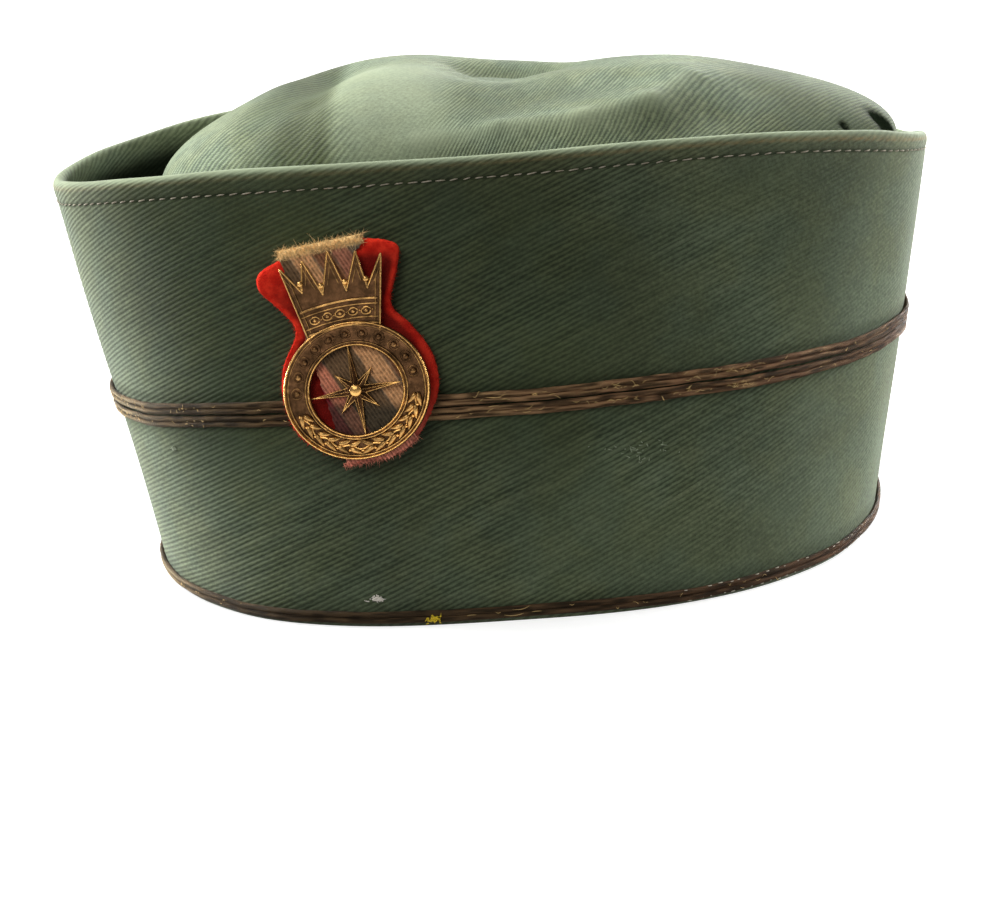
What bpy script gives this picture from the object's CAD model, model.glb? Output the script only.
"""A songkok: a tall boat-shaped cap of green drill, with tarnished braid and a brass badge over red felt.

Sizes are millimetres in the cap's own frame, and become metres where a mesh is made. The front of the cap
points to -X, the badge is on its -Y side, +Z is up and the bottom edge is at Z = 0.
"""

from types import SimpleNamespace as Sizes

import bpy
import numpy as np
from mathutils import Matrix


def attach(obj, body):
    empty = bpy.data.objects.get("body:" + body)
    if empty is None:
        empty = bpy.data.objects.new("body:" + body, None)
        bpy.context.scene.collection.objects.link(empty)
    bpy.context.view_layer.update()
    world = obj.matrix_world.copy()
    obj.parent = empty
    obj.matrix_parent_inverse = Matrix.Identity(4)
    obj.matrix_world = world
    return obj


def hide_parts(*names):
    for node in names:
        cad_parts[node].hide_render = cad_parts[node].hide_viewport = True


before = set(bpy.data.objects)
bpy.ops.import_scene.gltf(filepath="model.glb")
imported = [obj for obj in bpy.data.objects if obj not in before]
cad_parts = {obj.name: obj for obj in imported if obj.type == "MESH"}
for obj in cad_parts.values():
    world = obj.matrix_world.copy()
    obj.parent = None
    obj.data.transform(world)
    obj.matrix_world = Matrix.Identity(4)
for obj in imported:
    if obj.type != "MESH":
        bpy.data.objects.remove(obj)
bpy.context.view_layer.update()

# Band
# The band is a stiffened strip of green cotton drill, folded over along the rim and stitched below the
# fold. Its twill ribs climb from the front of the cap to the rear, and run on over the fold.

MM = 0.001
HEAD_OVAL = Sizes(centre_x=0.7, half_length=92.8, half_width=84.6, length_power=2.67, width_power=2.09)
RIM_OVAL = Sizes(centre_x=0.0, half_length=111.0, half_width=63.8, length_power=2.4, width_power=2.1)
RIM_HEIGHT = Sizes(side=105.7, front=98.8, rear=94.7, power=3.3)
RIM_DIP = Sizes(angle=18, spread=16, depth=5)
RIM_ROLL = 0.8
BAND_WALL = 2.8
FOLD_DEPTH = 2.0
FOLD_LENGTH = 5.4
STITCH_DROP = Sizes(front=5.1, rear=3.9)
STITCH_PITCH = 3.1
MIDDLE_BRAID_HEIGHT = Sizes(side=50.2, front=43.6, rear=49.3, power=2.4)
ROUND_STEPS = 2881
ROUND_HEIGHT = 52.0
RIBS_ROUND = 205
RIB_SLIDE = 746
RIB_RELIEF = 0.03
FRONT_RIBS = Sizes(angle=190, spread=38, wider=0.33)
SAMPLES_PER_RIB = 4
BAND_WALKS = [(0, 0.925, 52), (0.925, 1, 20), (1, 2, 10), (2, 2.08, 5), (2.08, 3, 9), (3, 4, 2)]
DRILL_RIB = (0.158, 0.2, 0.116)
DRILL_GROOVE = (0.052, 0.069, 0.039)
DRILL_MIDDLE = (0.121, 0.153, 0.088)
DRILL_WORN = (0.242, 0.28, 0.176)
DRILL_SHADE = (0.006, 0.009, 0.005)
DRILL_UNFADED = (0.33, 0.35, 0.28)
DRILL_SOIL = (0.24, 0.17, 0.07)


def rounded(value, power):
    """The sign of the value times its size to the power 2 / power, which squares an oval's corners."""
    return np.sign(value) * np.abs(value) ** (2 / power)


def ease(value, low, high):
    """t * t * (3 - 2 t), where t goes from 0 at low to 1 at high."""
    t = np.clip((value - low) / (high - low), 0, 1)
    return t * t * (3 - 2 * t)


def bell(distance, width):
    """exp(-(distance / width) ** 2)."""
    return np.exp(-((distance / width) ** 2))


def unit(vectors):
    """Each vector divided by its length."""
    return vectors / np.linalg.norm(vectors, axis=-1, keepdims=True)


def running(steps):
    """0, and then the sum of the steps so far."""
    return np.concatenate([[0], np.cumsum(steps)])


def lengths_along(points):
    """The distance walked along a row of points, starting at 0."""
    return running(np.linalg.norm(np.diff(points, axis=0), axis=-1))


def oval(angle, shape):
    """x = centre + half length * rounded cosine, y = half width * rounded sine."""
    x = shape.centre_x + shape.half_length * rounded(np.cos(angle), shape.length_power)
    return x, shape.half_width * rounded(np.sin(angle), shape.width_power)


def degrees_from(angle, degrees):
    """How far round the cap an angle is from a place given in degrees: -180 to 180."""
    return (np.degrees(angle) - degrees + 180) % 360 - 180


def height_round(angle, heights):
    """side - (side - end) * |cosine| ** power, with the front or the rear as the end."""
    end = np.where(np.cos(angle) > 0, heights.rear, heights.front)
    return heights.side - (heights.side - end) * np.abs(np.cos(angle)) ** heights.power


def rim_height(angle):
    """The height round the cap less a bell-shaped dip by the rear end of the right side."""
    dip = RIM_DIP.depth * bell(degrees_from(angle, RIM_DIP.angle), RIM_DIP.spread)
    return height_round(angle, RIM_HEIGHT) - dip


def band_face(angle, height):
    """The outer face: a straight line at each angle from the head oval up to the rim oval."""
    share = height / rim_height(angle)
    foot_x, foot_y = oval(angle, HEAD_OVAL)
    rim_x, rim_y = oval(angle, RIM_OVAL)
    face = np.broadcast_arrays(foot_x + share * (rim_x - foot_x), foot_y + share * (rim_y - foot_y), height)
    return np.stack(face, -1)


def band_directions(angle, height):
    """Along the cap and up the wall, by small steps on the face, and out, their cross product."""
    small = 0.01
    along = unit(band_face(angle + small, height) - band_face(angle - small, height))
    up = unit(band_face(angle, height + 1) - band_face(angle, height - 1))
    return along, up, unit(np.cross(along, up))


def off_band(angle, height, off):
    """A place that lies `off` out from the outer face."""
    return band_face(angle, height) + band_directions(angle, height)[2] * off[..., None]


round_angles = np.linspace(0, 2 * np.pi, ROUND_STEPS)
round_lengths = lengths_along(band_face(round_angles, ROUND_HEIGHT))
ROUND_LENGTH = round_lengths[-1]
wider_ribs = 1 + FRONT_RIBS.wider * bell(degrees_from(round_angles, FRONT_RIBS.angle), FRONT_RIBS.spread)
rib_shares = running(np.diff(round_lengths) / wider_ribs[1:])
rib_shares /= rib_shares[-1]


def even_ribs(share):
    """The turn at a share of the ribs. A rib takes up to a third more of the round by the front, so that the
    ribs climb less steeply there and still lie evenly one over the next."""
    return np.interp(share % 1, rib_shares, round_lengths / ROUND_LENGTH) + np.floor(share)


def angle_at(turn):
    """The angle at a share of the way round the cap, counted in cloth length and not in degrees."""
    whole = np.floor(turn)
    return np.interp((turn - whole) * ROUND_LENGTH, round_lengths, round_angles) + 2 * np.pi * whole


def band_section(angle, walk):
    """Up the outer face as walk goes from 0 to 1, over the rim in half an oval to 2, down the inner face to
    3 and back under the bottom edge to 4."""
    shoulder = rim_height(angle) - FOLD_DEPTH
    turn = np.pi * np.clip(walk - 1, 0, 1)
    height = (np.clip(walk, 0, 1) - np.clip(walk - 2, 0, 1)) * shoulder + FOLD_DEPTH * np.sin(turn)
    depth = BAND_WALL * (0.5 - 0.5 * np.cos(turn) - np.clip(walk - 3, 0, 1))
    out = band_directions(angle, np.minimum(height, shoulder))[2]
    return band_face(angle, height) - unit(out * [1, 1, 0]) * depth[..., None]


def stitch_drop(angle):
    """How far below the rim the stitches lie: more at the front than at the rear."""
    return STITCH_DROP.rear + (STITCH_DROP.front - STITCH_DROP.rear) * (0.5 - 0.5 * np.cos(angle))


def waves(angle, height):
    """Long soft waves in the stiffened cloth, a sum of sines round and up the band."""
    long_wave = 0.176 * np.sin(5 * angle + 0.05 * height)
    middle_wave = 0.128 * np.sin(9 * angle - 0.07 * height + 1.3)
    return long_wave + middle_wave + 0.08 * np.sin(17 * angle + 0.11 * height + 0.4)


def rib_relief(rib, flat):
    """A cosine to a power for each rib, which makes the grooves narrow, times a share that flattens it."""
    return RIB_RELIEF * flat * ((0.5 - 0.5 * np.cos(2 * np.pi * rib)) ** 0.6 - 0.6)


def band_relief(angle, walk, rib):
    """How far the drill stands out: waves, the padded hem between the rim and its stitches, the groove that
    the stitches pull, the hollows along the braids, the fold's roll inside the rim, and the twill's ribs."""
    shoulder = rim_height(angle) - FOLD_DEPTH
    height = np.clip(walk, 0, 1) * shoulder
    below = shoulder + FOLD_DEPTH - height
    hem = 0.1 * np.sin(np.pi * np.clip(below / stitch_drop(angle), 0, 1))
    groove = -0.2 * bell(below - stitch_drop(angle), 0.6)
    seat = -0.2 * bell(height - height_round(angle, MIDDLE_BRAID_HEIGHT), 4.2)
    outside = np.clip((2 - walk) / 0.5, 0, 1)
    roll = RIM_ROLL * ease(walk, 1.2, 1.9) * bell(np.clip(walk - 2, 0, 1) * shoulder, 5)
    ribs = rib_relief(rib, 1 - 0.5 * bell(walk - 1.5, 0.4)) * (walk < 3)
    return (waves(angle, height) + hem + groove + seat) * outside + roll + ribs


def grid_faces(rows, columns, closed_rows=False, closed_columns=False, slide=0):
    """The four corners of each face of a grid of points, and their places as shares of its columns and rows.
    A closed side joins its last line to its first one, the last row `slide` columns further on."""
    row = np.arange(rows if closed_rows else rows - 1)[:, None, None] + np.array([0, 0, 1, 1])
    column = np.arange(columns if closed_columns else columns - 1)[None, :, None] + np.array([0, 1, 1, 0])
    row, column = np.broadcast_arrays(row, column)
    places = np.stack([column / (columns - (not closed_columns)), row / (rows - (not closed_rows))], -1)
    over = row == rows
    corners = np.where(over, 0, row) * columns + (column + np.where(over, slide, 0)) % columns
    return corners.reshape(-1, 4), places.reshape(-1, 4, 2)


def put(name, data):
    """A new object in the scene that holds this data."""
    thing = bpy.data.objects.new(name, data)
    bpy.context.scene.collection.objects.link(thing)
    return thing


def make_piece(name, points, faces, materials, values=None, places=None, kinds=None):
    """A smooth mesh from an array of points in millimetres and an array of faces. `values` are named numbers
    for each point, `places` are the corners' UVs, and `kinds` is each face's material."""
    mesh = bpy.data.meshes.new(name)
    mesh.vertices.add(points.size // 3)
    mesh.vertices.foreach_set("co", (points * MM).astype(np.float32).ravel())
    mesh.loops.add(faces.size)
    mesh.loops.foreach_set("vertex_index", faces.astype(np.int32).ravel())
    mesh.polygons.add(len(faces))
    mesh.polygons.foreach_set("loop_start", np.arange(0, faces.size, faces.shape[1], dtype=np.int32))
    if kinds is not None:
        mesh.polygons.foreach_set("material_index", kinds.astype(np.int32))
    if places is not None:
        mesh.uv_layers.new(name="UVMap").data.foreach_set("uv", places.astype(np.float32).ravel())
    for key, numbers in (values or {}).items():
        attribute = mesh.attributes.new(key, "FLOAT", "POINT")
        attribute.data.foreach_set("value", numbers.astype(np.float32).ravel())
    mesh.update(calc_edges=True)
    mesh.validate()
    mesh.shade_smooth()
    for material in materials:
        mesh.materials.append(material)
    piece = put(name, mesh)
    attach(piece, "root")
    return piece


class Value:
    """A number or colour inside a material. Sums, differences and products of it become nodes."""

    def __init__(self, finish, socket):
        """A value in a finish, at the output of one of its nodes."""
        self.finish = finish
        self.socket = socket

    def __add__(self, other):
        """This plus the other."""
        return self.finish.math("ADD", self, other)

    def __sub__(self, other):
        """This less the other."""
        return self.finish.math("SUBTRACT", self, other)

    def __rsub__(self, other):
        """The other less this."""
        return self.finish.math("SUBTRACT", other, self)

    def __mul__(self, other):
        """This times the other."""
        return self.finish.math("MULTIPLY", self, other)

    def __abs__(self):
        """This without its sign."""
        return self.finish.math("ABSOLUTE", self)


class Finish:
    """A material's nodes. add() puts one in, sets or links its inputs and gives back one of its outputs."""

    def __init__(self, name, **constants):
        """A new material, with constants for the main shader."""
        self.material = bpy.data.materials.new(name)
        self.material.use_nodes = True
        self.tree = self.material.node_tree
        self.set(**constants)

    def set(self, **inputs):
        """Sets or links the main shader's inputs, named with _ for a space."""
        for key, value in inputs.items():
            self.join(self.tree.nodes["Principled BSDF"].inputs[key.replace("_", " ")], value)

    def join(self, socket, value):
        """Links a socket to a value, or sets its constant."""
        if isinstance(value, Value):
            self.tree.links.new(value.socket, socket)
        elif hasattr(value, "__len__") and socket.type == "RGBA":
            socket.default_value = (*value, 1)
        else:
            socket.default_value = value

    def add(self, kind, inputs, out=0, **settings):
        """A node of a kind, with its inputs by name or number and its settings."""
        node = self.tree.nodes.new("ShaderNode" + kind)
        for key, value in settings.items():
            setattr(node, key, value)
        for key, value in inputs.items():
            self.join(node.inputs[key], value)
        return Value(self, node.outputs[out])

    def math(self, operation, a, b=0.0):
        """One step of arithmetic."""
        return self.add("Math", {0: a, 1: b}, operation=operation)

    def cosine(self, turns):
        """The cosine of a number of turns."""
        return self.math("COSINE", turns * (2 * np.pi))

    def mix(self, share, a, b, blend="MIX"):
        """From colour a to colour b by a share."""
        return self.add("Mix", {0: share, 6: a, 7: b}, 2, data_type="RGBA", blend_type=blend)

    def ramp(self, value, low, high, to_low=0.0, to_high=1.0):
        """Eases a value from one range to another, and stops at its ends."""
        inputs = {"Value": value, "From Min": low, "From Max": high, "To Min": to_low, "To Max": to_high}
        return self.add("MapRange", inputs, interpolation_type="SMOOTHSTEP")

    def noise(self, scale, detail=2.0, roughness=0.5, at=None):
        """Cloudy noise from 0 to 1, by the place on the object in metres or by a pair of values."""
        vector = self.add("CombineXYZ", {0: at[0], 1: at[1]}) if at else self.add("TexCoord", {}, "Object")
        inputs = {"Scale": scale, "Vector": vector, "Detail": detail, "Roughness": roughness}
        return self.add("TexNoise", inputs)

    def split(self, vector):
        """The first two numbers of a place."""
        node = self.add("SeparateXYZ", {0: vector}).socket.node
        return Value(self, node.outputs[0]), Value(self, node.outputs[1])

    def value(self, name):
        """A named number that the mesh carries."""
        return self.add("Attribute", {}, "Fac", attribute_name=name)

    def bump(self, height, distance):
        """Tilts the shading by a height of up to `distance` metres."""
        return self.add("Bump", {"Height": height, "Distance": distance, "Strength": 1.0})


def drill(name, ribs, run, groove, unfaded):
    """Green cotton drill with `ribs` ribs across its U and `run` millimetres along its V. Pale ribs stand
    over darker grooves, single ribs are paler or darker in streaks, yarns break the ribs into beads and
    grain, and the dye has faded in clouds and where the cloth is worn. The mesh says where it is worn,
    soiled, dark, has its ribs blurred, or has kept more dye, which darkens it by the unfaded tint."""
    finish = Finish(name, Roughness=0.92, Sheen_Roughness=0.5)
    value, noise, ramp, mix = finish.value, finish.noise, finish.ramp, finish.mix
    dark, wear, blurred = value("dark"), value("wear"), value("blurred")
    across, along = finish.split(finish.add("UVMap", {}))
    straight, along = across * ribs, along * run
    rib = straight + noise(1.0, at=(straight * 0.5, along * 0.16)) * 0.5 - 0.25
    one_rib = finish.math("FLOOR", rib)
    wave = 0.5 - finish.cosine(rib) * 0.5
    streak = noise(1.0, 3.0, 0.6, at=(one_rib * 7.3, along * 0.13))
    yarn = noise(1.0, 3.0, 0.65, at=(rib * 2.0, along * 1.3))
    bead = finish.cosine(along * 0.8 + one_rib * 0.37)
    crest = ramp(wave + bead * 0.17 + yarn * 1.5 - 0.75, 0.0, 0.9)
    colour = mix(crest, groove, DRILL_RIB)
    colour = mix(ramp(streak, 0.4, 0.72, 0.0, 0.4), colour, DRILL_WORN)
    colour = mix(ramp(streak, 0.3, 0.5, 0.35, 0.0), colour, groove)
    colour = mix(ramp(noise(34.0), 0.4, 0.65, 0.0, 0.45) + blurred, colour, DRILL_MIDDLE)
    tint = mix(ramp(noise(75.0), 0.36, 0.64), (1.03, 1.0, 0.93), (0.98, 1.0, 1.03))
    colour = mix(1.0, colour, tint, "MULTIPLY")
    colour = mix(wear * ramp(yarn, 0.3, 0.7, 0.75, 1.1), colour, DRILL_WORN)
    colour = mix(value("unfaded"), colour, unfaded, "MULTIPLY")
    colour = mix(value("soil") * ramp(yarn, 0.35, 0.65, 0.35, 1.0), colour, DRILL_SOIL)
    colour = mix(dark, colour, DRILL_SHADE)
    grain = (noise(1100.0, 3.0, 0.75) - 0.5) * ((blurred - wear) * 0.7 + 0.5)
    shade = ramp(noise(26.0, 3.0, 0.6) * 0.5 + 0.25 + grain, 0.3, 0.7, 0.7, 1.26)
    relief = (wave + yarn * 0.9 + bead * 0.12) * ramp(wear, 0.0, 0.6, 1.0, 0.15)
    finish.set(
        Sheen_Weight=(1.0 - dark) * 0.1,
        Specular_IOR_Level=(1.0 - dark) * 0.15,
        Base_Color=mix(1.0, colour, shade, "MULTIPLY"),
        Normal=finish.bump(relief, 0.00009),
    )
    return finish.material


side_shoulder = RIM_HEIGHT.side - FOLD_DEPTH
walk_marks = np.cumsum([0, side_shoulder, FOLD_LENGTH, side_shoulder, BAND_WALL])
band_run = walk_marks[-1]
band_walks = np.concatenate([np.linspace(*span, endpoint=False) for span in BAND_WALKS])
walk_lengths = np.interp(band_walks, np.arange(5), walk_marks)
band_columns = RIBS_ROUND * SAMPLES_PER_RIB
climb = RIB_SLIDE / band_columns / band_run
band_turns = np.arange(band_columns) / band_columns + climb * walk_lengths[:, None]
band_angles = angle_at(even_ribs(band_turns))
band_ribs = (np.arange(band_columns) + 0.5) / SAMPLES_PER_RIB
walks = np.broadcast_to(band_walks[:, None], band_turns.shape)
small_angle, small_walk = 0.01, 0.004
band_base = band_section(band_angles, walks)
before_walks = np.maximum(walks - small_walk, 0)
band_out = unit(np.cross(
    band_section(band_angles + small_angle, walks) - band_section(band_angles - small_angle, walks),
    band_section(band_angles, walks + small_walk) - band_section(band_angles, before_walks),
))
band_points = band_base + band_out * band_relief(band_angles, walks, band_ribs)[..., None]
band_points[..., 2] = np.maximum(band_points[..., 2], 0)
band_faces, band_places = grid_faces(len(band_walks), band_columns, True, True, RIB_SLIDE % band_columns)
walk_steps = np.arange(len(band_walks) + 1) / len(band_walks)
band_places[..., 1] = np.interp(band_places[..., 1], walk_steps, np.append(walk_lengths, band_run)) / band_run

band_x, band_z = band_base[..., 0], band_base[..., 2]
rim_wear = 0.62 * bell(walks - 1.47, 0.28) + 0.4 * bell(walks - 0.005, 0.012)
rim_soil = (0.5 + 0.3 * np.sin(2 * band_angles + 2.6)) * bell(walks - 1.12, 0.09)
below_rim = rim_height(band_angles) - np.minimum(walks, 1) * (rim_height(band_angles) - FOLD_DEPTH)
cloth_turns = np.interp(band_angles % (2 * np.pi), round_angles, round_lengths / ROUND_LENGTH)
needle_gap = 0.5 - 0.5 * np.cos(2 * np.pi * cloth_turns * int(ROUND_LENGTH / STITCH_PITCH))
stitch_line = (0.2 + 0.7 * needle_gap**2) * bell(below_rim - stitch_drop(band_angles), 0.4)
over_braid = bell(band_z - height_round(band_angles, MIDDLE_BRAID_HEIGHT) - 3.7, 1.2)
over_braid = over_braid + bell(band_z - 4.3, 1.2)
rim_dark = (stitch_line + 0.4 * over_braid) * (walks < 1) + 0.97 * ease(walks, 2.0, 2.06) * (walks < 3.5)
unfaded_side = ease(np.abs(band_out[..., 1]), 0.55, 0.88) * (1 - 0.45 * ease(band_x, 10, 55))
blurred_ends = 0.3 * ease(band_x, 20, 60) + 0.6 * ease(band_x, 66, 96) + 0.5 * ease(-band_x, 45, 95)
band_looks = {
    "wear": rim_wear,
    "soil": rim_soil,
    "dark": rim_dark,
    "unfaded": 0.97 * unfaded_side * (1 - 0.4 * (1 - ease(band_z, 18, 50))) * (walks < 1.4),
    "blurred": blurred_ends * (walks < 1),
}
band_green = drill("band_green_drill", RIBS_ROUND, band_run, DRILL_GROOVE, DRILL_UNFADED)
band = make_piece("band_drill", band_points, band_faces, [band_green], band_looks, band_places)
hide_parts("band")

# Rim stitches
# A row of lockstitches in pale thread holds the folded hem down, about 3 mm to a stitch. The needle's
# side shows outside and the bobbin's side shows inside the band.

STITCH = Sizes(half_length=1.1, radius=0.175, lift=0.26, bend=0.34, slant=0.12)
STITCH_SUNK = Sizes(outside=0.2, inside=0.05)
THREAD = (0.37, 0.33, 0.25)
THREAD_SHADE = (0.24, 0.21, 0.14)
BOBBIN_THREAD = (0.03, 0.038, 0.022)


def tubes(centres, radii, sides=6):
    """Closed tubes along many rows of points at once: each point gets a ring of `sides` points at its radius,
    square to the row, and the rows' ends taper to the radius given there."""
    ahead = unit(np.gradient(centres, axis=1))
    side = unit(np.cross(ahead, np.array([0.31, 0.17, 0.93])))
    top = np.cross(side, ahead)
    turn = 2 * np.pi * np.arange(sides) / sides
    ring = np.cos(turn)[:, None] * side[:, :, None] + np.sin(turn)[:, None] * top[:, :, None]
    points = centres[:, :, None] + ring * np.broadcast_to(radii, centres.shape[:2])[:, :, None, None]
    faces = grid_faces(centres.shape[1], sides, False, True)[0][:, ::-1]
    count = centres.shape[1] * sides
    faces = faces[None] + count * np.arange(len(centres))[:, None, None]
    return points.reshape(-1, 3), faces.reshape(-1, 4)


stitch_count = int(ROUND_LENGTH / STITCH_PITCH)
stitch_share = np.linspace(-1, 1, 7)
random = np.random.default_rng(10)
stitch_half = STITCH.half_length * random.uniform(0.75, 1.15, (stitch_count, 1))
stitch_slant = STITCH.slant * random.uniform(0.2, 1.8, (stitch_count, 1))
stitch_turns = (np.arange(stitch_count)[:, None] + stitch_share * stitch_half / STITCH_PITCH) / stitch_count
stitch_angles = angle_at(stitch_turns)
stitch_heights = rim_height(stitch_angles) - stitch_drop(stitch_angles) + stitch_slant * stitch_share
stand = STITCH.lift - STITCH.bend * stitch_share**2
outside_off = stand - STITCH_SUNK.outside + waves(stitch_angles, stitch_heights)
inside_off = STITCH_SUNK.inside - stand - BAND_WALL
stitch_rows = [off_band(stitch_angles, stitch_heights, off) for off in (outside_off, inside_off)]
stitch_radii = STITCH.radius * np.sqrt(1.05 - stitch_share**2)
stitch_points, stitch_faces = tubes(np.concatenate(stitch_rows), stitch_radii)
thread = Finish("pale_thread", Roughness=0.8)
thread_colour = thread.mix(thread.ramp(thread.noise(1500.0), 0.3, 0.7), THREAD_SHADE, THREAD)
thread.set(Base_Color=thread.mix(thread.value("bobbin"), thread_colour, BOBBIN_THREAD))
bobbin = np.repeat([0, 1], len(stitch_points) // 2)
stitches = make_piece("rim_stitches", stitch_points, stitch_faces, [thread.material], {"bobbin": bobbin})

# Braids
# Three strips of soutache in tarnished gold thread, each two cords bound side by side. Two strips run
# round the middle of the band and one along its bottom edge. All are sewn down, uneven and worn.

BRAID = Sizes(half_width=1.42, thickness=1.25, gap=-0.02)
MIDDLE_BRAID_PITCH = 3.15
BOTTOM_BRAID_HEIGHT = 2.1
BRAID_DULLED = {"middle_braid_upper": 0.0, "middle_braid_lower": 0.1, "bottom_braid": 1.0}
THREADS_ROUND = 600
SAMPLES_PER_THREAD = 4
THREAD_RELIEF = 0.05
THREAD_SLANT = 0.55
STRANDS = Sizes(lengths_round=170, relief=0.08, seed=50)
GILT = Sizes(angle=203, spread=15, share=1.5)
TARNISH_DARK = (0.05, 0.03, 0.014)
TARNISH_BROWN = (0.52, 0.32, 0.15)
TARNISH_RED = (0.42, 0.21, 0.11)
TARNISH_BLACK = (0.028, 0.019, 0.01)
TARNISH_GOLD = (0.66, 0.42, 0.16)
TARNISH_GREY = (0.5, 0.38, 0.17)

lobe = np.linspace(0, np.pi, 6)
braid_across = np.concatenate([-0.5 - 0.5 * np.cos(lobe), 0.5 - 0.5 * np.cos(lobe[1:]), [0.6, 0.0, -0.6]])
braid_thick = np.concatenate([0.5 + 0.5 * np.sin(lobe), 0.5 + 0.5 * np.sin(lobe[1:]), [0.06, 0.16, 0.06]])
braid_front = np.concatenate([np.ones(11), np.zeros(3)])


def wander(angle, seed):
    """A few sines round the cap, with random waves and phases, for the unevenness of hand sewing."""
    random = np.random.default_rng(seed)
    total = np.zeros(angle.shape)
    for waves_round, size in ((7, 0.22), (13, 0.12), (31, 0.05), (67, 0.03)):
        total += size * np.sin(waves_round * angle + random.uniform(0, 2 * np.pi))
    return total


def braid_path(angle, name):
    """The height of a strip's middle line: the braid's height round the cap, plus or minus half the pitch of
    the two middle strips, and its wander."""
    if name == "bottom_braid":
        return BOTTOM_BRAID_HEIGHT + 0.6 * wander(angle, 3)
    side, seed = (1, 2) if name == "middle_braid_upper" else (-1, 4)
    wandering = wander(angle, 1) + 0.35 * wander(angle, seed)
    return height_round(angle, MIDDLE_BRAID_HEIGHT) + side * MIDDLE_BRAID_PITCH / 2 + wandering


def strands(columns, across, seed):
    """From 0 to 1, how far the threads stand up: random numbers round the cap in each line along the strip,
    eased from one to the next, so that every line swells and sinks by itself."""
    count = STRANDS.lengths_round
    knots = np.random.default_rng(seed).random((count, across))
    place = np.arange(columns) * count / columns
    low = np.floor(place).astype(int)
    share = ease(place - low, 0, 1)[:, None]
    return knots[low] * (1 - share) + knots[(low + 1) % count] * share


def braid_material(name, dull):
    """Metal thread gone brown: greyish gold towards the front, reddish brown towards the rear and dulled by
    a share. Threads run along it in light and dark lines, with bright scraped glints on the crests, most of
    them where the mesh says gilt."""
    finish = Finish(name, Metallic=0.1, Specular_IOR_Level=0.12)
    value, noise, ramp, mix = finish.value, finish.noise, finish.ramp, finish.mix
    crest, strand = value("crest"), value("strand")
    x, _ = finish.split(finish.add("TexCoord", {}, "Object"))
    around, across = finish.split(finish.add("UVMap", {}))
    rear = ramp(x, -0.06, 0.085)
    threads = noise(1.0, 4.0, 0.6, at=(around * 160.0, across * 22.0))
    glint = noise(1.0, 3.0, 0.65, at=(around * 420.0, across * 30.0))
    tarnish = mix(rear, TARNISH_BROWN, TARNISH_RED)
    brown = mix(ramp(strand * 0.35 + threads * 0.65, 0.36, 0.66), TARNISH_DARK, tarnish)
    scraped = noise(110.0, 3.0, 0.65) * 0.3 + threads * 0.3 + glint * 0.4 - 0.06 * dull
    rub = (crest * 0.8 + 0.2) * ramp(scraped, 0.5, 0.62) * ramp(strand, 0.3, 0.75, 0.35, 1.25)
    rub = finish.math("MAXIMUM", rub, value("gilt") * ramp(glint, 0.36, 0.56) * crest)
    worn = mix(rub, brown, mix(rear, TARNISH_GREY, TARNISH_GOLD))
    ends = ramp(abs(x - 0.01), 0.02, 0.085)
    dullness = (ends * (0.86 - 0.84 * dull) + 0.84 * dull) * (1.0 - rub * 0.7) * (1.0 - rear * 0.2)
    finish.set(
        Base_Color=mix(dullness, worn, TARNISH_BLACK),
        Roughness=ramp(rub, 0.0, 0.7, 0.75, 0.4),
        Normal=finish.bump(threads + glint, 0.0003),
    )
    return finish.material


braid_columns = THREADS_ROUND * SAMPLES_PER_THREAD
braid_lines = len(braid_across)
braid_angles = angle_at(np.arange(braid_columns) / braid_columns)[:, None]
thread_count = np.arange(braid_columns)[:, None] / SAMPLES_PER_THREAD
bound = np.cos(2 * np.pi * (thread_count + THREAD_SLANT * np.abs(braid_across)))
ridge = braid_front * (braid_thick - 0.4)
crest = np.clip(ridge * 1.1 + 0.25 * bound * ridge, 0, 1)
gilt = GILT.share * bell(np.degrees(braid_angles) - GILT.angle, GILT.spread) * (crest > 0.35)
loose = 1 + 0.16 * wander(braid_angles * 1.7, 5)
braid_off = BRAID.gap + BRAID.thickness * braid_thick * loose + THREAD_RELIEF * bound * ridge
braid_rise = BRAID.half_width * braid_across * (1 + 0.08 * wander(braid_angles * 2.3, 6))
braid_faces, braid_places = grid_faces(braid_columns, braid_lines, True, True)
for number, strip in enumerate(BRAID_DULLED):
    middle = braid_path(braid_angles, strip)
    seat = band_face(braid_angles, middle)
    _, strip_up, strip_out = band_directions(braid_angles, middle)
    strand = strands(braid_columns, braid_lines, STRANDS.seed + number)
    flatter = 1 - 0.6 * ease(seat[..., 0], 50, 100)
    strand_off = STRANDS.relief * (2 * strand - 1) * braid_front * flatter
    off = braid_off + waves(braid_angles, middle) + strand_off
    strip_points = seat + strip_up * braid_rise[..., None] + strip_out * off[..., None]
    strip_points[..., 2] = np.maximum(strip_points[..., 2], 0.02)
    gold = braid_material(strip + "_tarnished_gold", BRAID_DULLED[strip])
    looks = {"crest": crest, "strand": strand, "gilt": gilt}
    braid = make_piece(strip + "_threads", strip_points, braid_faces, [gold], looks, braid_places)
    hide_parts(strip)

# Loose gold threads
# Where the braid is rubbed, single gold threads have come loose and stand off it in short curls. They are
# thickest over the middle of the left side and at the front.

LOOSE_THREADS = Sizes(count=320, radius=0.06, length=1.15, stand=0.35)
LOOSE_SHARES = {"middle_braid_lower": 0.45, "middle_braid_upper": 0.43, "bottom_braid": 0.12}
RUBBED_ANGLES = [190, 196, 203, 212, 226, 270, 273, 280, 281, 291, 298, 299]
SIDE_RADIUS = 95
LOOSE_GOLD = (0.62, 0.42, 0.17)


def thread_piece(name, lines, radii, sides, colour, **constants):
    """A piece of fine tubes along many lines, all of one colour."""
    finish = Finish(name, Base_Color=colour, **constants)
    return make_piece(name, *tubes(lines, radii, sides), [finish.material])


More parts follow.
